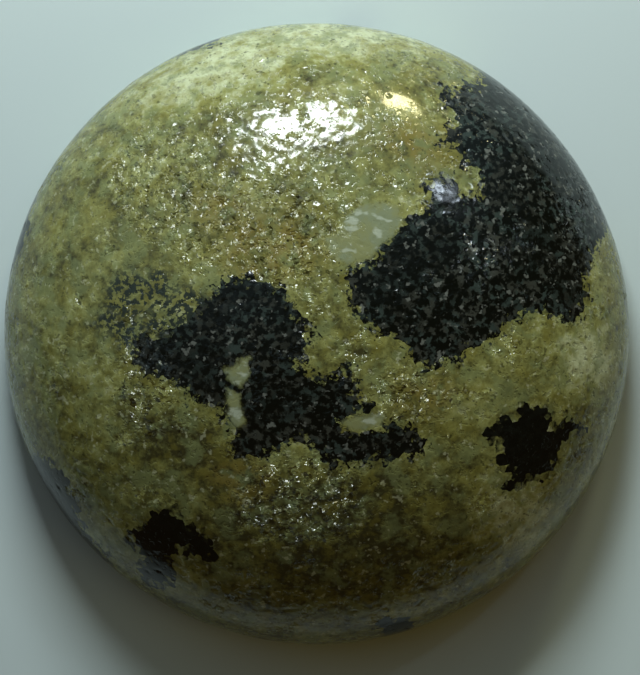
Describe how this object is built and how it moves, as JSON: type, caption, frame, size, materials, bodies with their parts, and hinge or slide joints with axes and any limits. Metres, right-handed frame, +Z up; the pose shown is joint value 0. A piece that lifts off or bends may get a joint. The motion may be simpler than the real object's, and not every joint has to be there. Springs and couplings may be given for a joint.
{
  "type": "dalmatian jasper cabochon",
  "caption": "Round domed cabochon of olive jasper with ragged black mineral patches, micro-pitted polish, narrow girdle and a flat back to rest or mount on.",
  "frame": {"origin": "middle of the flat back, on the surface that the stone rests on", "axes": "+Z up through the top of the crown; +Y to the top of the picture and +X to its right, seen from above"},
  "size_m": [0.03, 0.03, 0.0095],
  "materials": {
    "dalmatian_jasper": "polished, with fine open pits; olive to cream ground with black patches"
  },
  "bodies": {
    "root": {"cabochon": "dalmatian_jasper"}
  },
  "joints": []
}
